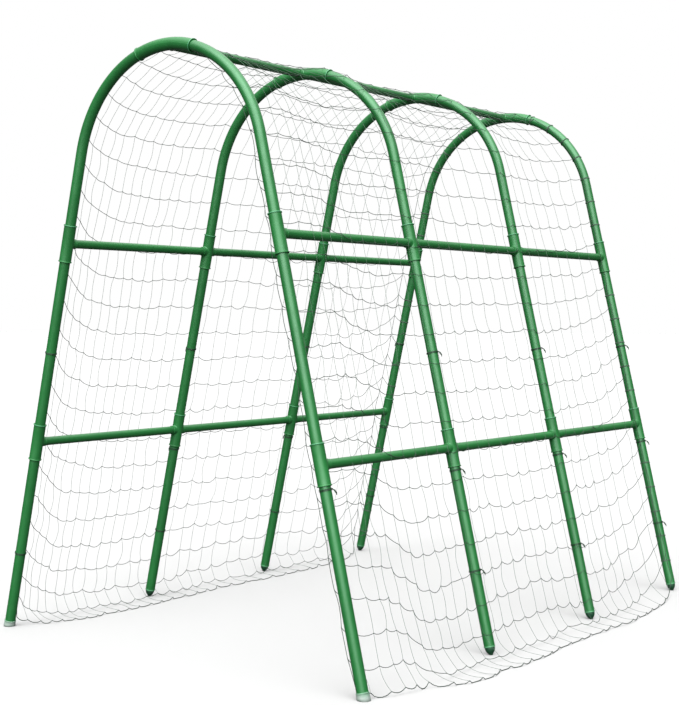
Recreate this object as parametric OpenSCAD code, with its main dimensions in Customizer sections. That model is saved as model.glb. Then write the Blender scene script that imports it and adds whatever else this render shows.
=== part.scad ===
// Metal trellis arch: a tunnel of four leaning hoops of plastic-coated tube, joined by five rows of
// bars with push-fit plastic connectors. A knotted net hangs over it, tied to the hoops, and ends in a
// narrow skirt on the ground each side.
// Millimetres. X is across the tunnel, Y runs along it, Z is up, and Z = 0 is the ground.

/* [Arch] */
// Height of the hoops' centreline above the ground at the top
rise = 1200; // [1150:10:1300]
// Distance between a hoop's two feet, centre to centre
span = 965; // [900:5:1050]
// Radius of the round top, on the tube's centreline
bend_r = 250; // [220:5:270]
// Distance from one hoop to the next
bay = 420; // [300:60:600]
// Height of the lower row of bars
lower_z = 406; // [360:2:460]
// Height of the upper row of bars
upper_z = 823; // [780:1:860]

/* [Tubes] */
// Outside diameter of the hoops' tube
hoop_d = 22; // [20:1:25]
// Outside diameter of the bars
bar_d = 18; // [16:1:19]
// Wall of every tube, with its plastic coat
tube_wall = 0.7; // [0.6:0.1:1.5]

/* [Connectors] */
// Wall of a connector's sleeve
sleeve_wall = 1.5; // [1.2:0.1:1.8]
// Length of a sleeve on a leg
sleeve_l = 78; // [60:2:100]
// Length of the curved sleeve at the top, along its centreline
apex_l = 150; // [90:2:180]
// How far the rim at a sleeve's mouth stands out
rim_h = 0.9; // [0.6:0.1:1]
// Length of that rim
rim_l = 3; // [2:0.5:5]
// Wall of the collar that a bar's end sits in
collar_wall = 1; // [0.8:0.1:1.6]
// How far the collar reaches from the sleeve's axis
collar_reach = 19; // [18:1:30]
// Length of the spigot inside a bar
spigot_l = 32; // [20:1:40]

/* [Feet] */
// Length of a pointed tip below its tube
tip_l = 18; // [14:1:36]
// Radius at a tip's point
tip_r = 3; // [2:0.1:4]
// Length of a front foot's cap below its tube
cap_l = 14; // [10:1:20]
// Length of the plug that goes up inside a tube
plug_l = 25; // [15:1:35]

/* [Net] */
// Wanted size of one mesh of the net
mesh = 60; // [40:5:100]
// Width of the flat net, which is gathered to fit along the tunnel
net_width = 1800; // [1320:60:2400]
// Diameter of the net's cord
cord_d = 1.4; // [1:0.1:1.5]
// Height of the lowest cord on a wall
hem_z = 5; // [3:1:30]
// Width of the skirt that lies on the ground each side
skirt = 50; // [30:5:60]

/* [Net ties] */
// Width of a tie's band
tie_w = 4; // [3:0.5:6]
// Thickness of a tie's band
tie_t = 1.3; // [1:0.1:1.5]

/* [Hidden] */
$fn = 64;
CUT = 1;               // how far a cutting shape runs past the face that it opens
FIT = 0.05;            // gap between a tube and the socket that it is pushed into
STOP = 1.5;            // half the thickness of the stop between two tube ends in a sleeve

HOOPS = ["front", "second", "third", "rear"];
SIDES = ["left", "right"];
BAYS = ["front", "middle", "rear"];
ROWS = ["lower", "upper"];

tube_green = "#2f8a56";
bar_green = "#2b7f4f";
connector_green = "#277a49";
tip_green = "#1c4f37";
cap_grey = "#c9d3cc";
cord_grey = "#4b504c";

hoop_r = hoop_d / 2;
bar_r = bar_d / 2;
half_span = span / 2;
arc_z = rise - bend_r;
foot_reach = norm([half_span, arc_z]);
leg_l = sqrt(foot_reach * foot_reach - bend_r * bend_r);
lean = acos(bend_r / foot_reach) - atan2(arc_z, half_span);
half_bend = 90 - lean;                // degrees from the end of a straight leg to the top
row_s = [lower_z / cos(lean), upper_z / cos(lean)];
half_l = bay * (len(HOOPS) - 1) / 2;

bore_r = hoop_r + FIT;
sleeve_r = bore_r + sleeve_wall;
rim_r = sleeve_r + rim_h;
socket_r = bar_r + FIT;
collar_r = socket_r + collar_wall;
spigot_r = bar_r - tube_wall - FIT;
plug_r = hoop_r - tube_wall - FIT;
stop_hole_r = hoop_r - tube_wall - CUT;
bar_floor = sleeve_r + CUT;          // a bar's end stands this far from the axis of the sleeve
arc_deg = 180 / PI / bend_r;         // degrees of the bend for each millimetre along its centreline

inner_cord_r = rim_r + FIT + cord_d / 2;
outer_cord_r = inner_cord_r + cord_d + FIT;
hem_s = hem_z / cos(lean) + cord_d;
net_straight = leg_l - hem_s;
net_arc = (bend_r + inner_cord_r) * 2 * half_bend * PI / 180;
net_girth = 2 * net_straight + net_arc;
girth_cells = round(net_girth / mesh);
length_cells = round(net_width / mesh);
long_cord_l = 2 * half_l + 2 * cord_d;
skirt_z = 1.5 * cord_d + FIT;         // the skirt's girth cords lie on its lengthwise cord
skirt_s = (skirt_z - outer_cord_r * sin(lean)) / cos(lean);
skirt_x = half_span - skirt_s * sin(lean) + outer_cord_r * cos(lean);

// Distances up a leg at which the net is tied to it
function leg_ties(i, side) = i > 0 ? [168, 372, 615] : side == "left" ? [168, 612] : [372];

function hoop_y(i) = -half_l + bay * i;

function bar_name(bay, row, side) = str(bay, "_", row, "_", side, "_bar");

HOOP_TUBES = [
    for (h = HOOPS, side = SIDES, part = ["lower_leg", "middle_leg", "top_bend"]) str(h, "_", side, "_", part)
];
BAR_TUBES = [
    for (b = BAYS) each [str(b, "_ridge_bar"), for (row = ROWS, side = SIDES) bar_name(b, row, side)]
];
CONNECTORS = [
    for (h = HOOPS) each [str(h, "_apex_connector"), for (row = ROWS) str(h, "_", row, "_connectors")]
];
FEET = ["front_foot_caps", "pointed_foot_tips"];
NET = ["net_lengthwise_cords", "net_girth_cords", "net_ties"];

// ---- placing -------------------------------------------------------------------------------

// Moves a shape made for the right side to the side named
module on_side(side) {
    mirror([side == "left" ? 1 : 0, 0, 0]) children();
}

// Local Z runs up the right leg's axis, from the point at distance s from the ground
module up_leg(s = 0) {
    translate([half_span, 0, 0])
        rotate([0, -lean, 0])
            translate([0, 0, s]) children();
}

// Turns a shape swept round Z into one swept round the bend, by the given angle past the point
// where the straight leg ends
module round_bend(past = 0) {
    up_leg(leg_l)
        translate([-bend_r, 0, 0])
            rotate([90, 0, 0])
                rotate([0, 0, past]) children();
}

// A solid bent rod across the top, centred on it
module apex_rod(r, from, to) {
    translate([0, 0, arc_z])
        rotate([90, 0, 0])
            rotate([0, 0, 90 + from])
                rotate_extrude(angle = to - from)
                    translate([bend_r, 0]) circle(r = r);
}

// A solid rod up the right leg
module leg_rod(r, from, to) {
    up_leg(from) cylinder(r = r, h = to - from);
}

// ---- hoop tubes ----------------------------------------------------------------------------

module straight_leg(from, to) {
    color(tube_green)
        difference() {
            leg_rod(hoop_r, from, to);
            leg_rod(hoop_r - tube_wall, from - CUT, to + CUT);
        }
}

module lower_leg(has_cap) {
    straight_leg((has_cap ? cap_l : tip_l) + FIT, row_s[0] - STOP - FIT);
}

module middle_leg() {
    straight_leg(row_s[0] + STOP + FIT, row_s[1] - STOP - FIT);
}

module top_bend() {
    straight_l = leg_l - (row_s[1] + STOP + FIT);
    inner_r = hoop_r - tube_wall;
    color(tube_green) {
        up_leg(leg_l)
            rotate([180, 0, 0])
                difference() {
                    cylinder(r = hoop_r, h = straight_l);
                    translate([0, 0, -CUT]) cylinder(r = inner_r, h = straight_l + 2 * CUT);
                }
        round_bend()
            rotate_extrude(angle = half_bend - (STOP + FIT) * arc_deg)
                translate([bend_r, 0])
                    difference() {
                        circle(r = hoop_r);
                        circle(r = inner_r);
                    }
    }
}

// ---- bars ----------------------------------------------------------------------------------

module bar_tube() {
    length = bay - 2 * (bar_floor + FIT);
    color(bar_green)
        rotate([-90, 0, 0])
            difference() {
                cylinder(r = bar_r, h = length, center = true);
                cylinder(r = bar_r - tube_wall, h = length + 2 * CUT, center = true);
            }
}

module ridge_bar() {
    translate([0, 0, rise]) bar_tube();
}

module side_bar(row) {
    up_leg(row_s[row]) bar_tube();
}

// ---- connectors ----------------------------------------------------------------------------

// Collar and spigot for one bar, along +Y or -Y from the sleeve's axis
module branch(dir) {
    rotate([-90 * dir, 0, 0]) {
        difference() {
            cylinder(r = collar_r, h = collar_reach);
            translate([0, 0, bar_floor]) cylinder(r = socket_r, h = collar_reach);
        }
        cylinder(r = spigot_r, h = bar_floor + spigot_l - 2);
        translate([0, 0, bar_floor + spigot_l - 2])
            cylinder(r1 = spigot_r, r2 = spigot_r - 2, h = 2);
    }
}

// Bars leave a middle hoop both ways, and an end hoop only towards the tunnel's middle
function branch_dirs(i) = i == 0 ? [1] : i == len(HOOPS) - 1 ? [-1] : [-1, 1];

module leg_connector(row, i) {
    s = row_s[row];
    half = sleeve_l / 2;
    color(connector_green)
        difference() {
            up_leg(s) {
                cylinder(r = sleeve_r, h = sleeve_l, center = true);
                for (end = [-1, 1])
                    translate([0, 0, end * (half - rim_l / 2)])
                        cylinder(r = rim_r, h = rim_l, center = true);
                for (dir = branch_dirs(i)) branch(dir);
            }
            leg_rod(bore_r, s - half - CUT, s - STOP);
            leg_rod(bore_r, s + STOP, s + half + CUT);
            leg_rod(stop_hole_r, s - half, s + half);
        }
}

module apex_connector(i) {
    half = apex_l / 2 * arc_deg;
    rim = rim_l * arc_deg;
    stop = STOP * arc_deg;
    past = CUT * arc_deg;
    color(connector_green)
        difference() {
            union() {
                apex_rod(sleeve_r, -half, half);
                apex_rod(rim_r, -half, rim - half);
                apex_rod(rim_r, half - rim, half);
                translate([0, 0, rise])
                    for (dir = branch_dirs(i)) branch(dir);
            }
            apex_rod(bore_r, -half - past, -stop);
            apex_rod(bore_r, stop, half + past);
            apex_rod(stop_hole_r, -half, half);
        }
}

// ---- feet ----------------------------------------------------------------------------------

// Cuts a foot level with the ground, so that it stands flat
module level_with_ground() {
    difference() {
        children();
        translate([half_span, 0, -hoop_d])
            cube([4 * hoop_d, 4 * hoop_d, 2 * hoop_d], center = true);
    }
}

module foot_cap() {
    color(cap_grey)
        level_with_ground() {
            up_leg(-cap_l / 2) cylinder(r1 = hoop_r + 1.4, r2 = hoop_r + 0.3, h = 1.5 * cap_l);
            leg_rod(plug_r, cap_l - CUT, cap_l + plug_l);
        }
}

module foot_tip() {
    ring = 3;
    color(tip_green)
        level_with_ground() {
            up_leg(-2) cylinder(r1 = tip_r, r2 = hoop_r - 0.4, h = tip_l - ring + 2);
            leg_rod(hoop_r + 0.4, tip_l - ring, tip_l);
            leg_rod(plug_r, tip_l - CUT, tip_l + plug_l);
        }
}

// ---- net -----------------------------------------------------------------------------------

// Where the net's lengthwise cords lie: u is measured from the right hem, over the top
module at_girth(u) {
    over = u - net_straight;
    if (u <= net_straight)
        up_leg(hem_s + u) translate([inner_cord_r, 0, 0]) children();
    else
        round_bend(over / net_arc * 2 * half_bend)
            translate([bend_r + inner_cord_r, 0, 0])
                rotate([-90, 0, 0]) children();
}

module lengthwise_cord() {
    rotate([90, 0, 0]) cylinder(d = cord_d, h = long_cord_l, center = true, $fn = 16);
}

module net_lengthwise_cords() {
    color(cord_grey)
        for (k = [0:girth_cells]) {
            u = net_girth * k / girth_cells;
            past_top = u > net_straight + net_arc;
            on_side(past_top ? "left" : "right")
                at_girth(past_top ? net_girth - u : u) lengthwise_cord();
        }
    color(cord_grey)
        for (side = SIDES)
            on_side(side)
                translate([skirt_x + skirt - cord_d / 2, 0, cord_d / 2]) lengthwise_cord();
}

// One cord over the whole arch, with a skirt run out along the ground at each end. A thin pin joins
// each straight run to the bend, and the skirt's run starts inside the straight one, just above its end.
module girth_cord() {
    overrun = 0.6 * cord_d;
    straight = leg_l - skirt_s + overrun;
    for (side = SIDES)
        on_side(side) {
            up_leg(skirt_s - overrun) translate([outer_cord_r, 0, 0]) {
                cylinder(d = cord_d, h = straight - FIT, $fn = 16);
                translate([0, 0, straight - 2 * CUT]) cylinder(d = cord_d / 2, h = 3 * CUT, $fn = 16);
            }
            translate([skirt_x, 0, skirt_z])
                rotate([0, 90, 0]) cylinder(d = 0.9 * cord_d, h = skirt, $fn = 16);
        }
    round_bend()
        rotate_extrude(angle = 2 * half_bend, $fn = 64)
            translate([bend_r + outer_cord_r, 0]) circle(d = cord_d, $fn = 16);
}

module net_girth_cords() {
    color(cord_grey)
        for (k = [0:length_cells])
            translate([0, -half_l + 2 * half_l * k / length_cells, 0]) girth_cord();
}

// ---- ties ----------------------------------------------------------------------------------

module tie() {
    difference() {
        cylinder(r = hoop_r + FIT + tie_t, h = tie_w, center = true);
        cylinder(r = hoop_r + FIT, h = tie_w + 2 * CUT, center = true);
    }
}

module net_ties() {
    color(tip_green)
        for (i = [0:len(HOOPS) - 1], side = SIDES)
            translate([0, hoop_y(i), 0])
                on_side(side)
                    for (s = leg_ties(i, side)) up_leg(s) tie();
}

// ---- assembly ------------------------------------------------------------------------------

for (i = [0:len(HOOPS) - 1], side = SIDES)
    translate([0, hoop_y(i), 0])
        on_side(side) {
            name = str(HOOPS[i], "_", side);
            lower_leg(i == 0);
            middle_leg();
            top_bend();
        }

for (b = [0:len(BAYS) - 1])
    translate([0, hoop_y(b) + bay / 2, 0]) {
        ridge_bar();
        for (r = [0:1], side = SIDES)
            on_side(side) side_bar(r);
    }

for (i = [0:len(HOOPS) - 1])
    translate([0, hoop_y(i), 0]) {
        apex_connector(i);
        for (r = [0:1])
            for (side = SIDES) on_side(side) leg_connector(r, i);
    }

for (side = SIDES) translate([0, hoop_y(0), 0]) on_side(side) foot_cap();  // front_foot_caps
for (i = [1:len(HOOPS) - 1], side = SIDES)  // pointed_foot_tips
        translate([0, hoop_y(i), 0]) on_side(side) foot_tip();
net_lengthwise_cords();
net_girth_cords();
net_ties();
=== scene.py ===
"""Looks for the metal trellis arch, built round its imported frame.

Metres, +Z up. X is across the tunnel, Y runs along it from the front hoop to the rear one, and
Z = 0 is the ground. The tubes stay as the frame has them. Connectors, feet, ties and net are made
here, in place of their plain CAD solids.
"""

import math

import bpy
import numpy as np
from mathutils import Matrix, Vector


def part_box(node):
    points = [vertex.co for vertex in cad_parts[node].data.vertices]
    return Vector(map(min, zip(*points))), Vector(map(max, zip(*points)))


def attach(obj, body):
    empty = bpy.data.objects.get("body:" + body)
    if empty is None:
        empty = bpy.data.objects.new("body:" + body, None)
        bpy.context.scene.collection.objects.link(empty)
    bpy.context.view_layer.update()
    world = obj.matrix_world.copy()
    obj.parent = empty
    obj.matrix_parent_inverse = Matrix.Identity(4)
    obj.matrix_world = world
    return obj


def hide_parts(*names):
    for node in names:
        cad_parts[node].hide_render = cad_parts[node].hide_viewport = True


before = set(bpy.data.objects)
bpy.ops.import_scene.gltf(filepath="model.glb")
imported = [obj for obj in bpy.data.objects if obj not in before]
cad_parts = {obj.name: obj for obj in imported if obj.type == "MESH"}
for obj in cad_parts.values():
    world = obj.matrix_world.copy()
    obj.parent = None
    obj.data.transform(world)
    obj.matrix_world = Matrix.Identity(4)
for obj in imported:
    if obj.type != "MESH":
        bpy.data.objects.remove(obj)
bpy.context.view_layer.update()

# ---- names and driving values ----------------------------------------------------------------

HOOPS = ["front", "second", "third", "rear"]
ROWS = ["lower", "upper"]
SIDES = (-1, 1)             # left and right, as signs of X

# Connectors
FIT = 0.00005               # gap between a tube and its socket
SLEEVE_L = 0.078            # a leg connector's sleeve
APEX_L = 0.150              # the curved sleeve at the top, along its centreline
SLEEVE_WALL = 0.0015
RIM_H = 0.0013              # how far the rim at a sleeve's mouth stands out
RIM_L = 0.0022
MOUTH_H = 0.0009            # the chamfer inside a mouth
MOUTH_L = 0.0015
STOP_H = 0.0017             # the stop halfway along, from a tube's outside inwards
STOP_L = 0.0030
SEAM_H = 0.00012            # the mould's parting line
SEAM_EDGE, SEAM_FOOT = 0.018, 0.045     # angles from its middle to its edge and its foot
COLLAR_WALL = 0.0010
COLLAR_REACH = 0.019        # from the sleeve's axis to the collar's mouth
COLLAR_FILLET = 0.0034      # the swelling where a collar leaves its sleeve
LIP_H = 0.0004              # the thicker lip at a collar's mouth
LIP_L = 0.0020
BEND_STEP = 0.004           # the curved sleeve's straight stretches are cut this short

# Feet
CAP_L = 0.014               # a front foot's cap, below its tube
TIP_L = 0.018               # a pointed tip, below its tube
TIP_R = 0.0030
TIP_RIM_L = 0.0026

# Net
MESH = 0.0605               # one cell of the net
GIRTH_CELLS = 48            # over the arch, from the right skirt's edge to the left one's
RIDGE = GIRTH_CELLS // 2    # number of the lengthwise cord that runs over the ridge
LENGTH_CELLS = 30
RIGHT_SKIRT = 0.078         # lies outwards on the ground
LEFT_SKIRT = 0.092          # lies inwards on the ground
REAR_GAP = 0.033            # from the net's rear edge to the rear hoop's axis
ROW_R = 0.00062             # radii of the lengthwise cords, the hems and the girth cords
HEM_R = 0.00085
GIRTH_R = 0.00033
LACE_R = 0.0006             # the cord wound round the rear hoop
KNOT_R = 0.0013
CORD_FLOOR = 0.0010         # the least height of a cord's axis, and of a knot
KNOT_FLOOR = 0.0012

# Ties
TIE_WIRE_R = 0.0007
TIE_PITCH = 0.0021          # from turn to turn round the leg
TIE_STEPS = 64              # in its two turns
TAIL_REACH = 0.007          # how far the twisted tail stands out
TAIL_DROP = 0.010
TAIL_SPIN = 9.0             # the tail's twist in radians
TAIL_STEPS = 24

RING = 64                   # steps round a moulded piece
FOOT_RING = 48


# ---- sizes read from the frame ---------------------------------------------------------------

def centre(node):
    low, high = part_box(node)
    return (low + high) / 2


def half_size(node):
    low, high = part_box(node)
    return (high - low) / 2


hoop_r = half_size("front_right_top_bend").y
bar_r = half_size("front_ridge_bar").x
hoop_y = [centre(f"{hoop}_right_top_bend").y for hoop in HOOPS]
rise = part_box("front_right_top_bend")[1].z - hoop_r

lower_mid = centre("second_right_lower_leg")
middle_mid = centre("second_right_middle_leg")
lean = math.atan2(lower_mid.x - middle_mid.x, middle_mid.z - lower_mid.z)
half_span = lower_mid.x + lower_mid.z * math.tan(lean)
bend_r = (half_span * math.cos(lean) - rise * math.sin(lean)) / (1 - math.sin(lean))
bend_z = rise - bend_r
leg_l = math.sqrt(half_span ** 2 + bend_z ** 2 - bend_r ** 2)
half_bend = math.pi / 2 - lean
half_hoop_l = leg_l + bend_r * half_bend
row_s = [centre(f"middle_{row}_right_bar").z / math.cos(lean) for row in ROWS]

sleeve_bore_r = hoop_r + FIT
sleeve_r = sleeve_bore_r + SLEEVE_WALL
rim_r = sleeve_r + RIM_H
socket_r = bar_r + FIT
collar_r = socket_r + COLLAR_WALL


def leg_frame(i, side, s):
    """Matrix whose Z runs up a leg of hoop i from distance s above the ground, with X pointing out."""
    place = (Matrix.Translation((half_span - s * math.sin(lean), hoop_y[i], s * math.cos(lean)))
             @ Matrix.Rotation(-lean, 4, "Y"))
    return place if side > 0 else Matrix.Scale(-1, 4, (1, 0, 0)) @ place


def apex_frame(i):
    """The same at the top of hoop i, where Z runs to the left and X points up."""
    return Matrix.Translation((0, hoop_y[i], rise)) @ Matrix.Rotation(-math.pi / 2, 4, "Y")


# ---- node helpers ----------------------------------------------------------------------------

def add_node(tree, kind, inputs=None, **settings):
    """A new node, with its inputs linked or set."""
    node = tree.nodes.new(kind)
    for key, value in settings.items():
        setattr(node, key, value)
    for key, value in (inputs or {}).items():
        if isinstance(value, bpy.types.NodeSocket):
            tree.links.new(value, node.inputs[key])
        else:
            node.inputs[key].default_value = value
    return node


def add_ramp(tree, value, stops):
    """Colour output of a ramp through (place, colour) stops."""
    node = add_node(tree, "ShaderNodeValToRGB", {"Fac": value})
    while len(node.color_ramp.elements) < len(stops):
        node.color_ramp.elements.new(0.5)
    for element, (place, colour) in zip(node.color_ramp.elements, stops):
        element.position = place
        element.color = (*colour, 1)
    return node.outputs[0]


class Finish:
    """A node material being put together round one Principled shader."""

    def __init__(self, name, **sockets):
        self.material = bpy.data.materials.new(name)
        self.material.use_nodes = True
        self.tree = self.material.node_tree
        self.shader = self.tree.nodes["Principled BSDF"]
        self.last_bump = None
        for socket, value in sockets.items():
            self.shader.inputs[socket.replace("_", " ")].default_value = value
        places = self.add("ShaderNodeTexCoord")
        self.where = places.outputs["Object"]
        self.uv = places.outputs["UV"]

    def add(self, kind, inputs=None, **settings):
        return add_node(self.tree, kind, inputs, **settings)

    def noise(self, scale, detail=3.0, roughness=0.55, stretch=None):
        where = self.where
        if stretch:
            where = self.add("ShaderNodeMapping", {"Vector": where, "Scale": stretch}).outputs[0]
        settings = {"Vector": where, "Scale": scale, "Detail": detail, "Roughness": roughness}
        return self.add("ShaderNodeTexNoise", settings).outputs[0]

    def ramp(self, value, *stops):
        return add_ramp(self.tree, value, stops)

    def mix(self, share, a, b, blend="MIX"):
        node = self.add("ShaderNodeMix", data_type="RGBA", blend_type=blend)
        for socket, value in (("Factor_Float", share), ("A_Color", a), ("B_Color", b)):
            target = next(i for i in node.inputs if i.identifier == socket)
            if isinstance(value, bpy.types.NodeSocket):
                self.tree.links.new(value, target)
            else:
                target.default_value = (*value, 1) if isinstance(value, tuple) else value
        return next(o for o in node.outputs if o.identifier == "Result_Color")

    def span(self, value, low, high, start=0.3, end=0.7):
        """value, stretched from start..end to low..high."""
        settings = {"Value": value, "From Min": start, "From Max": end, "To Min": low, "To Max": high}
        return self.add("ShaderNodeMapRange", settings).outputs[0]

    def colour(self, value):
        self.tree.links.new(value, self.shader.inputs["Base Color"])

    def roughness(self, value):
        self.tree.links.new(value, self.shader.inputs["Roughness"])

    def bump(self, value, depth, strength):
        """Adds a bump on top of the ones before."""
        settings = {"Height": value, "Distance": depth, "Strength": strength}
        if self.last_bump:
            settings["Normal"] = self.last_bump
        self.last_bump = self.add("ShaderNodeBump", settings).outputs[0]
        self.tree.links.new(self.last_bump, self.shader.inputs["Normal"])


# ---- materials -------------------------------------------------------------------------------

SHEEN = (0.66, 1.0, 0.78)           # tint of the gloss on tubes and mouldings
TUBE_GREEN = (0.011, 0.122, 0.026)
BAR_GREEN = (0.011, 0.122, 0.025)
CONNECTOR_GREEN = (0.011, 0.119, 0.025)
TIP_GREEN = (0.008, 0.045, 0.020)
# painted highlight on the connectors' rims that face the light
RIM_HIGHLIGHT_GREEN = (0.045, 0.21, 0.092)
# painted highlight on the pointed tips' rims
TIP_RIM_HIGHLIGHT_GREEN = (0.06, 0.22, 0.10)
CAP_GREY = (0.29, 0.35, 0.315)
CAP_GREEN = (0.06, 0.20, 0.10)      # where the tube shows through the cap
GROUND_SHADE_TOP = 0.0045                   # how high up a cap the painted shade at the ground reaches
TIE_GREEN = (0.006, 0.028, 0.012)
ROW_GREY = (0.026, 0.046, 0.032)
GIRTH_GREY = (0.075, 0.125, 0.088)
TWIST_PITCH = 0.004                 # of the cords' strands


def shade(colour, factor):
    return tuple(channel * factor for channel in colour)


def paler(colour, by):
    return tuple(channel + by for channel in colour)


def coated_tube(name, green):
    """Plastic-coated steel: satin, slightly uneven in tone, with a fine orange-peel surface."""
    finish = Finish(name, Specular_IOR_Level=0.85, Specular_Tint=(*SHEEN, 1), Coat_Weight=0.12,
                    Coat_Roughness=0.25)
    tone = finish.ramp(finish.noise(9, 4), (0.3, shade(green, 0.88)), (0.7, shade(green, 1.12)))
    speck = finish.ramp(finish.noise(900, 2), (0.36, shade(green, 0.72)), (0.46, (1, 1, 1)))
    speckled = finish.mix(0.35, tone, speck, "MULTIPLY")
    scuff = finish.span(finish.noise(130, 6, 0.7, (1, 1, 0.25)), 0, 0.22, 0.60, 0.80)
    finish.colour(finish.mix(scuff, speckled, paler(green, 0.10)))
    finish.roughness(finish.span(finish.noise(60, 5), 0.34, 0.46))
    finish.bump(finish.noise(1500, 2), 0.00012, 0.35)
    finish.bump(finish.noise(220, 3), 0.00025, 0.25)
    return finish.material


def moulded_plastic(name, green, rough, painted_highlight):
    """Injection-moulded plastic: a fine spark-eroded grain, faint flow marks, and a painted highlight on the
    rims.

    The painted highlight goes where the UV map's V is 1.
    """
    finish = Finish(name, Specular_IOR_Level=0.80, Specular_Tint=(*SHEEN, 1))
    flow = finish.ramp(finish.noise(26, 5, 0.6, (1, 1, 0.4)),
                       (0.3, shade(green, 0.84)), (0.7, shade(green, 1.14)))
    scuff = finish.span(finish.noise(170, 6, 0.7), 0, 0.25, 0.60, 0.78)
    worn = finish.mix(scuff, flow, paler(green, 0.07))
    # painted highlight: rims where the UV map's V is 1 take the pale colour
    highlight_mask = finish.add("ShaderNodeSeparateXYZ", {"Vector": finish.uv}).outputs["Y"]
    finish.colour(finish.mix(highlight_mask, worn, painted_highlight))
    finish.roughness(finish.span(finish.noise(90, 4), rough - 0.06, rough + 0.08))
    finish.bump(finish.noise(2600, 2), 0.00010, 0.5)
    finish.bump(finish.noise(300, 3), 0.00020, 0.2)
    return finish.material


def soft_cap(name, grey):
    """Pale vinyl that lets a little light in: painted shade darkens it at the ground, with the green tube
    showing above.
    """
    finish = Finish(name, Specular_IOR_Level=0.4, Subsurface_Weight=0.35, Subsurface_Scale=0.004,
                    Subsurface_Radius=(0.8, 1.0, 0.8))
    tone = finish.ramp(finish.noise(60, 4), (0.3, shade(grey, 0.86)), (0.7, shade(grey, 1.06)))
    dust = finish.span(finish.noise(240, 6, 0.7), 0, 0.4, 0.45, 0.75)
    dusty = finish.mix(dust, tone, shade(grey, 0.6))
    height = finish.add("ShaderNodeSeparateXYZ", {"Vector": finish.where}).outputs["Z"]
    # painted shade: darkest at the ground, fading out a few millimetres up the cap
    ground_shade = finish.span(height, 0.75, 0, 0.0, GROUND_SHADE_TOP)
    tube = finish.span(height, 0, 0.7, CAP_L * 0.45, CAP_L)
    finish.colour(finish.mix(tube, finish.mix(ground_shade, dusty, shade(grey, 0.25)), CAP_GREEN))
    finish.roughness(finish.span(finish.noise(150, 4), 0.42, 0.6))
    finish.bump(finish.noise(700, 3), 0.0002, 0.3)
    return finish.material


def twine(name, grey):
    """Twisted plastic cord. The twist follows the cord by its UV map, whose V is in metres."""
    finish = Finish(name, Specular_IOR_Level=0.35)
    strands = finish.add("ShaderNodeMapping", {"Vector": finish.uv, "Scale": (1, 1 / TWIST_PITCH, 1)})
    wave = finish.add("ShaderNodeTexWave", {"Vector": strands.outputs[0], "Scale": 0.5, "Distortion": 0.4},
                      bands_direction="DIAGONAL").outputs[1]
    tone = finish.ramp(finish.noise(14, 4), (0.3, shade(grey, 0.75)), (0.7, shade(grey, 1.3)))
    twist = finish.ramp(wave, (0.1, (0.55, 0.55, 0.55)), (0.7, (1, 1, 1)))
    finish.colour(finish.mix(0.7, tone, twist, "MULTIPLY"))
    finish.roughness(finish.span(finish.noise(300, 3), 0.5, 0.75))
    finish.bump(wave, 0.0003, 0.6)
    return finish.material


def wire_coat(name, green):
    """Soft plastic sleeve of a garden tie."""
    finish = Finish(name, Specular_IOR_Level=0.45)
    finish.colour(finish.ramp(finish.noise(120, 4), (0.3, shade(green, 0.7)), (0.7, shade(green, 1.4))))
    finish.roughness(finish.span(finish.noise(200, 3), 0.36, 0.55))
    finish.bump(finish.noise(1200, 3), 0.0001, 0.4)
    return finish.material


hoop_finish = coated_tube("hoop_coating", TUBE_GREEN)
bar_finish = coated_tube("bar_coating", BAR_GREEN)
connector_finish = moulded_plastic("connector_plastic", CONNECTOR_GREEN, 0.40, RIM_HIGHLIGHT_GREEN)
tip_finish = moulded_plastic("tip_plastic", TIP_GREEN, 0.48, TIP_RIM_HIGHLIGHT_GREEN)
cap_finish = soft_cap("cap_plastic", CAP_GREY)
tie_finish = wire_coat("tie_plastic", TIE_GREEN)
row_finish = twine("net_rows", ROW_GREY)
girth_finish = twine("net_girths", GIRTH_GREY)


def give(piece, finish):
    piece.data.materials.clear()
    piece.data.materials.append(finish)


for name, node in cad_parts.items():
    if name.endswith(("_leg", "_top_bend")):
        give(node, hoop_finish)
    elif name.endswith("_bar"):
        give(node, bar_finish)


# ---- mesh helpers ----------------------------------------------------------------------------

class Shapes:
    """Several closed shells gathered into one mesh, with a UV for each vertex."""

    def __init__(self):
        self.verts, self.faces, self.uvs = [], [], []

    def add(self, verts, faces, matrix=Matrix.Identity(4), uvs=None):
        start = len(self.verts)
        flip = matrix.determinant() < 0
        self.verts += [matrix @ Vector(v) for v in verts]
        self.uvs += uvs or [(0.0, 0.0)] * len(verts)
        for face in faces:
            ids = [start + i for i in face]
            self.faces.append(ids[::-1] if flip else ids)


def make_piece(name, shapes, finish, replaced, smooth_angle=40):
    """A mesh object that stands for CAD nodes and rides on the arch."""
    mesh = bpy.data.meshes.new(name)
    mesh.from_pydata([tuple(v) for v in shapes.verts], [], shapes.faces)
    layer = mesh.uv_layers.new(name="UVMap")
    corners = np.zeros(len(mesh.loops), np.int64)
    mesh.loops.foreach_get("vertex_index", corners)
    layer.data.foreach_set("uv", np.asarray(shapes.uvs, np.float32)[corners].ravel())
    mesh.update()
    mesh.shade_smooth()
    mesh.set_sharp_from_angle(angle=math.radians(smooth_angle))
    piece = bpy.data.objects.new(name, mesh)
    bpy.context.scene.collection.objects.link(piece)
    give(piece, finish)
    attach(piece, "root")
    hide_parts(*replaced)


def curve(a, corner, b, steps):
    """Points from a to b on a smooth bend that cuts the corner between them."""
    a, corner, b = Vector(a), Vector(corner), Vector(b)
    shares = [k / steps for k in range(steps + 1)]
    return [a * (1 - t) ** 2 + corner * 2 * t * (1 - t) + b * t ** 2 for t in shares]


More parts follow.
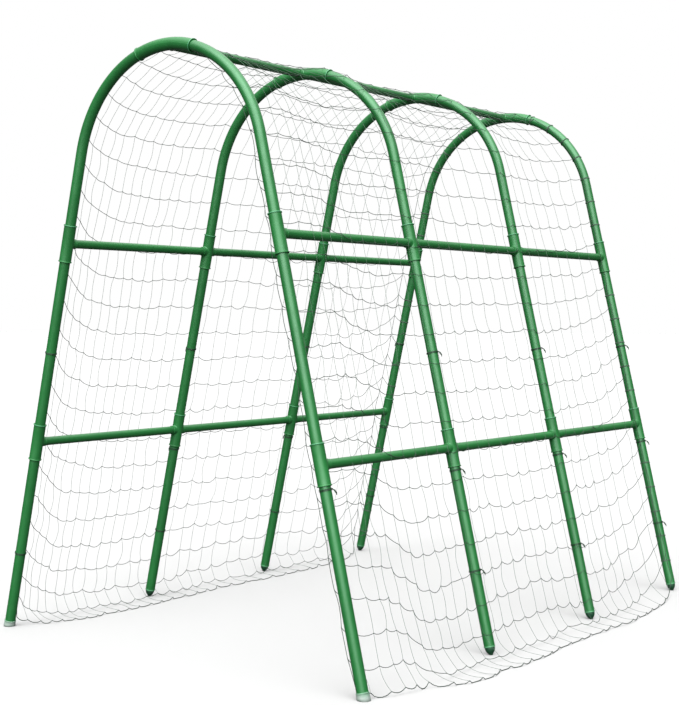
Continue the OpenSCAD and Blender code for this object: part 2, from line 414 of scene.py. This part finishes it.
def rounded(points, radius, steps=4):
    """A closed outline with its corners rounded. A point may carry its own radius as a third number."""
    most = 0.45     # of a side that one corner may take
    out = []
    for i, point in enumerate(points):
        corner = Vector(point[:2])
        r = point[2] if len(point) > 2 else radius
        before = Vector(points[i - 1][:2]) - corner
        after = Vector(points[(i + 1) % len(points)][:2]) - corner
        cut = min(r, before.length * most, after.length * most)
        if cut == 0:
            out.append(corner)
        else:
            start, end = corner + before.normalized() * cut, corner + after.normalized() * cut
            out += curve(start, corner, end, steps)
    return out


def lathe(outline, steps=RING, seam=0.0):
    """Turns a closed (radius, z) outline round Z. seam raises a fine parting line on +Y and -Y."""
    rays = [(2 * math.pi * k / steps, 0.0) for k in range(steps)]
    if seam:
        middles = (math.pi / 2, 3 * math.pi / 2)
        rays = [ray for ray in rays if all(abs(ray[0] - middle) > SEAM_FOOT for middle in middles)]
        for middle in middles:
            rays += [(middle - SEAM_FOOT, 0.0), (middle - SEAM_EDGE, seam),
                     (middle + SEAM_EDGE, seam), (middle + SEAM_FOOT, 0.0)]
        rays.sort()
    middle_r = (min(r for r, z in outline) + max(r for r, z in outline)) / 2
    verts = []
    for turn, lift in rays:
        for r, z in outline:
            grown = r + lift if r > middle_r else r
            verts.append((grown * math.cos(turn), grown * math.sin(turn), z))
    count = len(outline)
    faces = []
    for i in range(len(rays)):
        j = (i + 1) % len(rays)
        for k in range(count):
            m = (k + 1) % count
            faces.append((i * count + k, j * count + k, j * count + m, i * count + m))
    return verts, faces


# ---- connectors ------------------------------------------------------------------------------

def sleeve(length):
    """Outline of the tube that two hoop tubes push into: a rim at each mouth and a stop halfway."""
    half = length / 2
    upper = [(sleeve_r, half - RIM_L - 0.0002, 0.0006), (rim_r, half - RIM_L, 0.0006),
             (rim_r, half, 0.0007), (sleeve_bore_r + MOUTH_H, half), (sleeve_bore_r, half - MOUTH_L),
             (sleeve_bore_r, STOP_L / 2), (hoop_r - STOP_H, STOP_L / 2)]
    lower = [(r, -z, *radius) for r, z, *radius in reversed(upper)]
    return rounded(lower + upper, 0.0002)


def fine_along(outline):
    """The outline with its long straight stretches cut into short ones, so that it can bend."""
    out = []
    for i, a in enumerate(outline):
        b = outline[(i + 1) % len(outline)]
        pieces = max(1, math.ceil((b - a).length / BEND_STEP))
        out += [a.lerp(b, k / pieces) for k in range(pieces)]
    return out


def sleeve_height(x):
    """How far the sleeve's surface stands out from its axis, at x to the side."""
    return math.sqrt(max(sleeve_r ** 2 - x ** 2, 0.0))


def collar_section(c, s):
    """The collar's outline in direction (c, s) round the bar: radius, and distance from the sleeve's axis.

    It starts inside the sleeve, swells out of it, runs round the lip and ends on the socket's floor.
    """
    floor_y = sleeve_r + 0.001
    swollen_r = collar_r + COLLAR_FILLET
    widest = 0.985 * sleeve_r       # the root stays this near the sleeve's axis, on its surface
    root_r = min(swollen_r, math.hypot(widest * c, swollen_r * s))
    root_y = sleeve_height(root_r * c) - 0.0004     # just under the surface
    knee_y = sleeve_height(collar_r * c)
    top_y = min(knee_y + COLLAR_FILLET, COLLAR_REACH - 0.004)
    swelling = curve((root_r, root_y), (collar_r, knee_y), (collar_r, top_y), 8)
    lip = rounded([
        (collar_r, top_y, 0), (collar_r, COLLAR_REACH - LIP_L - 0.0006, 0.0005),
        (collar_r + LIP_H, COLLAR_REACH - LIP_L, 0.0005), (collar_r + LIP_H, COLLAR_REACH, 0.0006),
        (socket_r + 0.0002, COLLAR_REACH), (socket_r, COLLAR_REACH - 0.0006), (socket_r, floor_y, 0)], 0.0003)
    return [(0.0, 0.0), (root_r * 0.9, root_y - 0.001), *swelling, *lip[1:], (0.0, floor_y)]


def collar(direction):
    """The socket that a bar's end sits in, on the sleeve's +Y or -Y side."""
    columns = []
    for k in range(RING):
        turn = 2 * math.pi * k / RING
        c, s = math.cos(turn), math.sin(turn)
        columns.append([(r * c, y, r * s) for r, y in collar_section(c, s)])
    verts = [columns[0][0]] + [v for column in columns for v in column[1:-1]] + [columns[0][-1]]
    width = len(columns[0]) - 2
    faces = []
    for i in range(RING):
        a, b = 1 + i * width, 1 + (i + 1) % RING * width
        faces.append((0, a, b))
        faces += [(a + k, a + k + 1, b + k + 1, b + k) for k in range(width - 1)]
        faces.append((a + width - 1, len(verts) - 1, b + width - 1))
    if direction < 0:
        verts = [(-x, -y, z) for x, y, z in verts]
    return verts, faces


def collar_directions(i):
    """Bars leave a middle hoop both ways, and an end hoop only towards the tunnel's middle."""
    return [1] if i == 0 else [-1] if i == len(HOOPS) - 1 else [-1, 1]


def add_connector(shapes, i, length, place, bent):
    """A sleeve with its collars. A leg's upper rim, and the bend's right one, get a painted highlight where
    the light falls on them.
    """
    outline = sleeve(length)
    if bent:
        outline = fine_along(outline)
    verts, faces = lathe(outline, seam=SEAM_H)
    # painted highlight on the rim at the mouth that faces the light
    lit_end = -1 if bent else 1
    painted_highlight = [math.hypot(x, y) > sleeve_r + RIM_H / 2 and z * lit_end > 0 for x, y, z in verts]
    if bent:
        verts = [((bend_r + x) * math.cos(z / bend_r) - bend_r, y, (bend_r + x) * math.sin(z / bend_r))
                 for x, y, z in verts]
    shapes.add(verts, faces, place, [(0.0, float(mark)) for mark in painted_highlight])
    for direction in collar_directions(i):
        shapes.add(*collar(direction), place)


for i, hoop in enumerate(HOOPS):
    shapes = Shapes()
    add_connector(shapes, i, APEX_L, apex_frame(i), bent=True)
    name = f"{hoop}_apex_connector"
    make_piece(f"{name}_moulding", shapes, connector_finish, [name])
    for row, s in zip(ROWS, row_s):
        shapes = Shapes()
        for side in SIDES:
            add_connector(shapes, i, SLEEVE_L, leg_frame(i, side, s), bent=False)
        name = f"{hoop}_{row}_connectors"
        make_piece(f"{name}_moulding", shapes, connector_finish, [name])


# ---- feet ------------------------------------------------------------------------------------

def cap_outline():
    """A blunt cap, widest near the ground, with a bead at its mouth."""
    axis_r = 0.0001
    bead_r = hoop_r + 0.0013
    return rounded([
        (axis_r, -0.004), (hoop_r + 0.0010, -0.004), (hoop_r + 0.0016, 0.0035, 0.002),
        (hoop_r + 0.0008, CAP_L - 0.003, 0.002), (bead_r, CAP_L - 0.0024), (bead_r, CAP_L, 0.0006),
        (hoop_r - 0.0004, CAP_L + 0.0002, 0.0003), (hoop_r - 0.0012, CAP_L - 0.001),
        (axis_r, CAP_L - 0.001)], 0.0005)


def tip_outline():
    """A narrow point that widens into a shoulder and ends in a rim under the tube."""
    axis_r = 0.0001
    shoulder_r = hoop_r - 0.0008
    tip_rim_r = hoop_r + 0.0006
    rim_z = TIP_L - TIP_RIM_L
    return rounded([
        (axis_r, -0.002), (TIP_R, -0.001, 0.001), (TIP_R + 0.0016, 0.0022, 0.002),
        (hoop_r * 0.80, TIP_L * 0.40, 0.006), (shoulder_r, TIP_L - 0.0056, 0.003),
        (shoulder_r, rim_z - 0.0004, 0.0003), (tip_rim_r, rim_z + 0.0001, 0.0006),
        (tip_rim_r, TIP_L, 0.0006), (hoop_r - 0.0012, TIP_L + 0.0001, 0.0003), (axis_r, TIP_L)], 0.0004)


def add_foot(shapes, i, side, outline, highlight_from=math.inf):
    """A foot turned from its outline and cut off level at the ground. Above the given height it gets a
    painted highlight, for a lit rim.
    """
    verts, faces = lathe(outline, FOOT_RING)
    start = len(shapes.verts)
    shapes.add(verts, faces, leg_frame(i, side, 0), [(0.0, float(z > highlight_from)) for x, y, z in verts])
    for v in shapes.verts[start:]:
        v.z = max(v.z, 0.0)


caps, tips = Shapes(), Shapes()
for side in SIDES:
    add_foot(caps, 0, side, cap_outline())
    for i in range(1, len(HOOPS)):
        # painted highlight on each tip's rim
        add_foot(tips, i, side, tip_outline(), TIP_L - TIP_RIM_L)
make_piece("front_foot_caps_moulding", caps, cap_finish, ["front_foot_caps"])
make_piece("pointed_foot_tips_moulding", tips, tip_finish, ["pointed_foot_tips"])


# ---- how the net hangs -----------------------------------------------------------------------

# Ripples: height, number of waves, and their usual length over the arch and along the tunnel
LENGTHWAYS_RIPPLE = (0.002, 5, 0.5, 0.4)
BROAD_RIPPLE = (0.006, 6, 0.7, 0.35)
FINE_RIPPLE = (0.0035, 6, 0.25, 0.12)
WALL_RIPPLE = (0.012, 4, 0.6, 0.3)

# The first and last gap between girth cords, in proportion, on the right side and on the left
RIGHT_GAPS, LEFT_GAPS = (0.027, 0.052), (0.021, 0.060)

# The front edge's distance from the front hoop's axis, and its angle round the tube in degrees,
# from outwards towards the rear, at shares of the way over the arch from the right
FRONT_EDGE_R = 0.0172
FRONT_EDGE_TURN = [(0, 222), (0.4, 222), (0.5, 78), (0.62, 54)]
LEAVES_TUBE = (0.014, 0.07)     # how far behind the front hoop the net starts and ends leaving its edge

# How much higher the hems are at the tunnel's ends, and the length over which that fades out
RIGHT_HANG, RIGHT_HANG_END = 0.070, (0.10, 0.24)    # this one is level before it fades
RIGHT_FRONT, RIGHT_FRONT_FADE = 0.025, 0.04
RIGHT_CURL, RIGHT_CURL_FADE = 0.11, 0.14
LEFT_FRONT, LEFT_FRONT_FADE = 0.115, 0.055
LEFT_FRONT_SPREAD = 2.5     # this one is level from the hem up to a lowness of 1 / 2.5
LEFT_CURL, LEFT_CURL_FADE = 0.09, 0.07

# How far the net sinks inwards halfway between two hoops, in mm, at heights in lengths of the leg
SAG = [(0, 0), (0.3, 5), (0.405, 4), (0.6, 6), (0.817, 4), (0.95, 12), (1.1, 22), (1.2, 24), (1.27, 22),
       (1.32, 4)]

RIPPLED_BELOW = 0.5         # the lower wall is rippled up to this height, in lengths of the leg
NET_GAP = 0.0008            # from the connectors' rims to the cords' axes
CORNER = 0.03               # how gradually the net turns from the wall onto the ground
CORNER_TOP = 0.3            # the turn is too slight to matter above this
KNOT_SCATTER = 0.0011

rng = np.random.default_rng(7)
half_path = leg_l + (bend_r + rim_r) * half_bend
rear_y = hoop_y[3] - REAR_GAP


def ripples(u, v, height, count, u_length, v_length):
    """Smooth random ripples over the net; u and v are in metres."""
    total = 0.0
    for _ in range(count):
        a, b = rng.normal(size=2)
        total = total + np.sin(2 * math.pi * (a * u / u_length + b * v / v_length) + rng.uniform(0, 7))
    return height * total / math.sqrt(count / 2)


def step(value, start, end):
    """0 up to start, 1 from end on, and smooth between them."""
    t = np.clip((value - start) / (end - start), 0, 1)
    return t * t * (3 - 2 * t)


def fade(distance, length):
    return np.exp(-distance / length)


def lowness(k):
    """1 at a hem, and 0 at the ridge."""
    return 1 - np.minimum(k, GIRTH_CELLS - k) / RIDGE


def path_height(k):
    """Distance of lengthwise cord k up the net from the ground, if spread evenly; a skirt is below 0."""
    skirt = np.where(k <= RIDGE, RIGHT_SKIRT, LEFT_SKIRT)
    return (1 - lowness(k)) * (half_path + skirt) - skirt


def beside_axis(path):
    """The distance up a hoop's axis that lies level with a distance up the net."""
    return np.where(path > leg_l, leg_l + (path - leg_l) * bend_r / (bend_r + rim_r), path)


def hoop_place(s, out, side):
    """x and z at distance s up a hoop and out from its axis."""
    s, out = np.broadcast_arrays(s, out)
    turn = lean + np.clip((s - leg_l) / bend_r, 0, None)
    x = np.where(s < leg_l, half_span - s * math.sin(lean) + out * math.cos(lean),
                 (bend_r + out) * np.cos(turn))
    z = np.where(s < leg_l, s * math.cos(lean) + out * math.sin(lean), bend_z + (bend_r + out) * np.sin(turn))
    return side * x, z


def column_share(first, last):
    """How far along the net each girth cord is, from 0 to 1."""
    gaps = np.linspace(first, last, LENGTH_CELLS) * rng.uniform(0.86, 1.14, LENGTH_CELLS)
    return np.concatenate([[0], np.cumsum(gaps)]) / gaps.sum()


def knots_along(k, edge_y):
    """The knots' y. The net is gathered towards the front."""
    left = step(k / GIRTH_CELLS, 0.3, 0.7)
    share = column_share(*RIGHT_GAPS) * (1 - left) + column_share(*LEFT_GAPS) * left
    y = edge_y + share * (rear_y - edge_y)
    return y + ripples(k * MESH, y, *LENGTHWAYS_RIPPLE) * step(share, 0, 0.05)


def knots_up(k, y):
    """The knots' distance up the hoops' axis."""
    low = lowness(k)
    behind_front, before_rear = y - hoop_y[0], rear_y - y
    right_lift = (RIGHT_HANG * (1 - step(behind_front, *RIGHT_HANG_END))
                  + RIGHT_FRONT * fade(behind_front, RIGHT_FRONT_FADE)
                  + RIGHT_CURL * fade(before_rear, RIGHT_CURL_FADE)) * low
    left_lift = (LEFT_FRONT * fade(behind_front, LEFT_FRONT_FADE) * np.minimum(1, LEFT_FRONT_SPREAD * low)
                 + LEFT_CURL * fade(before_rear, LEFT_CURL_FADE) * low)
    s = path_height(k) + np.where(k <= RIDGE, right_lift, left_lift)
    s = s + low * (ripples(k * MESH, y, *BROAD_RIPPLE) + ripples(k * MESH, y, *FINE_RIPPLE))
    return beside_axis(s)


def knots_out(k, y, s):
    """The knots' distance out from the hoops' axis: slack between hoops, and rippled lower down."""
    phase = (y - hoop_y[0]) / (hoop_y[1] - hoop_y[0]) % 1
    between = 4 * phase * (1 - phase)
    height = np.maximum(s / leg_l, 0)
    sag = np.interp(height, *zip(*SAG)) / 1000
    ripple = np.maximum(RIPPLED_BELOW - height, 0) * ripples(k * MESH, y, *WALL_RIPPLE)
    return rim_r + NET_GAP + (ripple - sag) * between


def net_knots():
    """Where the net's knots hang: an array of points, lengthwise cords by girth cords."""
    k = np.arange(GIRTH_CELLS + 1)[:, None]
    edge_turn = np.radians(np.interp(k / GIRTH_CELLS, *zip(*FRONT_EDGE_TURN)))
    y = knots_along(k, hoop_y[0] + FRONT_EDGE_R * np.sin(edge_turn))
    s = knots_up(k, y)
    out = knots_out(k, y, s)
    freed = np.where(k == RIDGE, 1, step(y - hoop_y[0], *LEAVES_TUBE))
    out = out * freed + FRONT_EDGE_R * np.cos(edge_turn) * (1 - freed)
    s = s + rng.normal(0, KNOT_SCATTER, s.shape)

    turn = np.hypot(s, CORNER)
    low = s < CORNER_TOP
    side = np.where(k <= RIDGE, 1, -1)
    x, z = hoop_place(np.where(low, (turn + s) / 2, s), out, side)
    x = x + np.where(low, (turn - s) / 2, 0)
    return np.stack(np.broadcast_arrays(x, y, np.maximum(z, KNOT_FLOOR)), -1)


# ---- the net's cords -------------------------------------------------------------------------

ROW_STEPS, GIRTH_STEPS = 5, 4               # from knot to knot
ROW_WANDER, GIRTH_WANDER = 0.25, 0.8        # sideways, as a share of a cord's drop
RIDGE_SLACK, HEM_SLACK = 0.006, 0.055       # extra length of the lengthwise cords
HEM_LOOSER = 1.6
GIRTH_SLACK = 0.004
LACE_LIFT = 0.03            # how much higher than its cord a lacing sits on the rear hoop
LACE_CLEAR = 0.05           # least distance from a lacing to a connector's middle
LACE_STEPS = 40             # in its two turns
LACE_PITCH = 2.4 * LACE_R   # from turn to turn
LEAD_DROOP = 0.012          # four times how far the cord droops on its way to the hoop

KNOT_SHAPE = [(1, 0, 0), (0, 1, 0), (-1, 0, 0), (0, -1, 0), (0, 0, 1), (0, 0, -1)]
KNOT_FACES = [(0, 1, 4), (1, 2, 4), (2, 3, 4), (3, 0, 4), (1, 0, 5), (2, 1, 5), (3, 2, 5), (0, 3, 5)]


def hang(a, b, slack, steps, sideways):
    """Points from knot to knot along a slack cord; a and b are arrays of knots."""
    t = np.linspace(0, 1, steps + 1)[None, :-1, None]
    run = b - a
    length = np.linalg.norm(run, axis=-1, keepdims=True)
    along = run / length
    way = np.array([0.0, 0.0, -1.0]) + along * along[:, 2:] + sideways
    drop = length * np.sqrt(3 / 8 * slack)[:, None]     # a shallow parabola's
    points = a[:, None] + run[:, None] * t + (way * drop)[:, None] * 4 * t * (1 - t)
    points[..., 2] = np.maximum(points[..., 2], CORD_FLOOR)
    return points


def cord_points(line, slack, steps, wander):
    """One cord through a line of knots."""
    count = len(line) - 1
    sideways = rng.normal(0, wander, (count, 3))
    slacks = slack * rng.uniform(0.3, 1.8, count)
    points = hang(line[:-1], line[1:], slacks, steps, sideways)
    return np.concatenate([points.reshape(-1, 3), line[-1:]])


def add_cord(shapes, points, radius, corners=5):
    """A round cord along the points. Its UV map's V is the distance along it."""
    gaps = np.diff(points, axis=0)
    along = np.concatenate([gaps[:1], gaps[1:] + gaps[:-1], gaps[-1:]])
    along /= np.linalg.norm(along, axis=1, keepdims=True)
    runs_lengthways = np.abs(along[:, 1:2]) > 0.7
    u = np.cross(along, np.where(runs_lengthways, [[0.0, 0, 1]], [[0.0, 1, 0]]))
    u /= np.linalg.norm(u, axis=1, keepdims=True)
    w = np.cross(along, u)
    turn = np.linspace(0, 2 * math.pi, corners, endpoint=False)[None, :, None]
    verts = points[:, None] + radius * (np.cos(turn) * u[:, None] + np.sin(turn) * w[:, None])
    travelled = np.concatenate([[0], np.cumsum(np.linalg.norm(gaps, axis=1))])
    uvs = [(c / corners, d) for d in travelled for c in range(corners)]
    last = (len(points) - 1) * corners
    faces = [list(range(corners))[::-1], list(range(last, last + corners))]
    for a in range(0, last, corners):
        for c in range(corners):
            d = (c + 1) % corners
            faces.append((a + c, a + d, a + corners + d, a + corners + c))
    shapes.add(verts.reshape(-1, 3).tolist(), faces, uvs=uvs)


def add_knot(shapes, place, radius):
    size = radius * rng.uniform(0.7, 1.2, 3)
    verts = [place + np.array(corner) * size for corner in KNOT_SHAPE]
    shapes.add(verts, KNOT_FACES, uvs=[(0.5, 0.0)] * len(KNOT_SHAPE))


def add_lacing(shapes, knot, s, side):
    """The end of a lengthwise cord, led to the rear hoop, twice round it and tied."""
    turn = np.linspace(0, 4 * math.pi, LACE_STEPS + 1)
    r = hoop_r + LACE_R + 0.0002
    climb = (turn / (2 * math.pi) - 1) * LACE_PITCH
    x, z = hoop_place(s + climb, r * np.cos(turn), side)
    coil = np.stack([x, hoop_y[3] + r * np.sin(turn), z], -1)
    add_cord(shapes, coil, LACE_R, 6)
    nearest = coil[LACE_STEPS * 3 // 8]     # three quarters of the first turn
    t = np.linspace(0, 1, 5)[:, None]
    lead = knot + (nearest - knot) * t - np.array([0, 0, LEAD_DROOP]) * t * (1 - t)
    add_cord(shapes, lead, ROW_R)
    add_knot(shapes, coil[0], KNOT_R * 1.5)


def add_rows(shapes, knots):
    """The lengthwise cords with their knots; the outer two are the hems."""
    for k in range(GIRTH_CELLS + 1):
        hem = k in (0, GIRTH_CELLS)
        slack = (RIDGE_SLACK + HEM_SLACK * lowness(k) ** 1.5) * (HEM_LOOSER if hem else 1.0)
        add_cord(shapes, cord_points(knots[k], slack, ROW_STEPS, ROW_WANDER), HEM_R if hem else ROW_R)
        for j in range(LENGTH_CELLS + 1):
            add_knot(shapes, knots[k, j], KNOT_R)


def add_girths(rows, girths, knots):
    """The cords over the arch. The two at the ends are as thick and dark as the lengthwise ones."""
    for j in range(LENGTH_CELLS + 1):
        edge = j in (0, LENGTH_CELLS)
        line = cord_points(knots[:, j], GIRTH_SLACK, GIRTH_STEPS, GIRTH_WANDER)
        add_cord(rows if edge else girths, line, ROW_R if edge else GIRTH_R)


def add_lacings(shapes, knots):
    """Lacings round the rear hoop, except at its connectors, its top and the lowest cords."""
    for k in range(2, GIRTH_CELLS - 1):
        s = float(beside_axis(path_height(k))) + LACE_LIFT
        clear = min(abs(s - connector) for connector in row_s) > LACE_CLEAR
        if clear and s < half_hoop_l:
            add_lacing(shapes, knots[k, -1], s, 1 if k <= RIDGE else -1)


knots = net_knots()
rows, girths = Shapes(), Shapes()
add_rows(rows, knots)
add_girths(rows, girths, knots)
add_lacings(girths, knots)
make_piece("net_rows", rows, row_finish, ["net_lengthwise_cords"], 60)
make_piece("net_girths", girths, girth_finish, ["net_girth_cords"], 60)


# ---- net ties --------------------------------------------------------------------------------

def leg_ties(i, side):
    """Distances up a leg at which it's tied: the front legs have fewer ties than the others."""
    if i > 0:
        return [0.168, 0.372, 0.615]
    return [0.168, 0.612] if side < 0 else [0.372]


def twisted_end(root, out, phase):
    """One of the two wire ends twisted into a tail, which stands out from the leg and bends down."""
    points = []
    for k in range(TAIL_STEPS + 1):
        t = k / TAIL_STEPS
        fall = TAIL_DROP * t * t + 0.002 * t
        stem = root + out * (TAIL_REACH * math.sin(1.7 * t)) - Vector((0, 0, fall))
        spin = TAIL_SPIN * t + phase
        points.append(stem + Vector((math.cos(spin), math.sin(spin), 0)) * TIE_WIRE_R)
    return points


def add_tie(shapes, i, side, s):
    """Two turns of coated wire round a leg, its end standing out, and a twisted tail."""
    place = leg_frame(i, side, s)
    r = hoop_r + 0.0009
    start = math.radians(20) + rng.uniform(-0.25, 0.25)
    out = Vector((math.cos(start), math.sin(start), 0))
    path = []
    for k in range(TIE_STEPS):
        t = 4 * math.pi * k / TIE_STEPS
        wobble = 0.0008 * math.sin(t)
        climb = TIE_PITCH * (t / (2 * math.pi) - 1) + wobble
        path.append(Vector((r * math.cos(start + t), r * math.sin(start + t), climb)))
    coil_end = path[-1]
    path += [coil_end + out * 0.0015 * k - Vector((0, 0, 0.0006 * k * k)) for k in range(1, 5)]
    for wire in (path, twisted_end(out * r, out, 0), twisted_end(out * r, out, math.pi)):
        add_cord(shapes, np.array([tuple(place @ point) for point in wire]), TIE_WIRE_R, 8)


ties = Shapes()
for i in range(len(HOOPS)):
    for side in SIDES:
        for s in leg_ties(i, side):
            add_tie(ties, i, side, s)
make_piece("net_ties_wire", ties, tie_finish, ["net_ties"], 60)


# ---- stage, light and camera -----------------------------------------------------------------

# Soft boxes of the studio: azimuth, elevation, half-width of the even middle, half-width with its
# soft edge (all in degrees) and brightness
SOFT_BOXES = [(-61, 43, 18, 58, 5.3), (-60, 90, 10, 62, 1.4), (125, 38, 15, 60, 0.7)]
BASE_LIGHT = [(-90, 0.01), (-4, 0.01), (14, 0.06), (40, 0.28), (90, 0.6)]   # elevation, brightness

FLOOR_HALF = 60.0
FLOOR_TONE = 0.381          # to the camera
FLOOR_DIM = 0.035           # in reflections

CAMERA_AT = (1.9387, -2.5631, 0.6650)
CAMERA_TURN = 38.0          # degrees to the left of +Y
CAMERA_DIP = 1.34           # degrees below level
FOCAL_LENGTH = 71.11        # mm, with a 36 mm sensor


def grey(level):
    return (level, level, level, 1)


def by_camera(tree, unseen, seen):
    """Mixed output of two shaders: seen is what the camera sees, and unseen what lights the scene."""
    camera_ray = add_node(tree, "ShaderNodeLightPath").outputs["Is Camera Ray"]
    inputs = {0: camera_ray, 1: unseen.outputs[0], 2: seen.outputs[0]}
    return add_node(tree, "ShaderNodeMixShader", inputs).outputs[0]


def soft_box(tree, way, azimuth, elevation, even, edge, level):
    """Brightness of one soft box in direction way."""
    a, e = math.radians(azimuth), math.radians(elevation)
    aim = (math.cos(e) * math.cos(a), math.cos(e) * math.sin(a), math.sin(e))
    near = add_node(tree, "ShaderNodeVectorMath", {0: way, 1: aim}, operation="DOT_PRODUCT")
    inputs = {"Value": near.outputs["Value"], "From Min": math.cos(math.radians(edge)),
              "From Max": math.cos(math.radians(even)), "To Max": level}
    return add_node(tree, "ShaderNodeMapRange", inputs, interpolation_type="SMOOTHSTEP").outputs[0]


def studio_light():
    """Soft boxes round a dim room, seen only in the light they give; the camera sees plain white."""
    world = bpy.data.worlds.new("studio")
    world.use_nodes = True
    tree = world.node_tree
    tree.nodes.clear()
    way = add_node(tree, "ShaderNodeTexCoord").outputs["Generated"]
    height = add_node(tree, "ShaderNodeSeparateXYZ", {"Vector": way}).outputs["Z"]
    share = add_node(tree, "ShaderNodeMapRange", {"Value": height, "From Min": -1.0, "From Max": 1.0})
    stops = [((math.sin(math.radians(elevation)) + 1) / 2, (level, level, level))
             for elevation, level in BASE_LIGHT]
    base = add_ramp(tree, share.outputs[0], stops)
    total = add_node(tree, "ShaderNodeSeparateColor", {"Color": base}).outputs[0]
    for box in SOFT_BOXES:
        total = add_node(tree, "ShaderNodeMath", {0: total, 1: soft_box(tree, way, *box)}).outputs[0]
    light = add_node(tree, "ShaderNodeBackground", {"Color": grey(1), "Strength": total})
    white = add_node(tree, "ShaderNodeBackground", {"Color": grey(1), "Strength": 1.0})
    add_node(tree, "ShaderNodeOutputWorld", {"Surface": by_camera(tree, light, white)})
    bpy.context.scene.world = world


def floor():
    """A pale floor, which looks darker in the tubes' reflections than to the camera."""
    size = FLOOR_HALF
    mesh = bpy.data.meshes.new("floor")
    mesh.from_pydata([(-size, -size, 0), (size, -size, 0), (size, size, 0), (-size, size, 0)], [],
                     [(0, 1, 2, 3)])
    plane = bpy.data.objects.new("floor", mesh)
    bpy.context.scene.collection.objects.link(plane)
    material = bpy.data.materials.new("floor")
    material.use_nodes = True
    tree = material.node_tree
    tree.nodes.clear()
    painted_highlight = add_node(tree, "ShaderNodeBsdfDiffuse", {"Color": grey(FLOOR_TONE)})
    dim = add_node(tree, "ShaderNodeBsdfDiffuse", {"Color": grey(FLOOR_DIM)})
    add_node(tree, "ShaderNodeOutputMaterial", {"Surface": by_camera(tree, dim, painted_highlight)})
    mesh.materials.append(material)


def camera():
    lens = bpy.data.cameras.new("camera")
    lens.lens = FOCAL_LENGTH
    lens.sensor_width = 36.0
    lens.sensor_fit = "AUTO"
    lens.clip_end = 200
    holder = bpy.data.objects.new("camera", lens)
    bpy.context.scene.collection.objects.link(holder)
    holder.location = CAMERA_AT
    holder.rotation_euler = (math.radians(90 - CAMERA_DIP), 0, math.radians(CAMERA_TURN))
    bpy.context.scene.camera = holder


studio_light()
floor()
camera()
bpy.context.scene.view_settings.view_transform = "Standard"
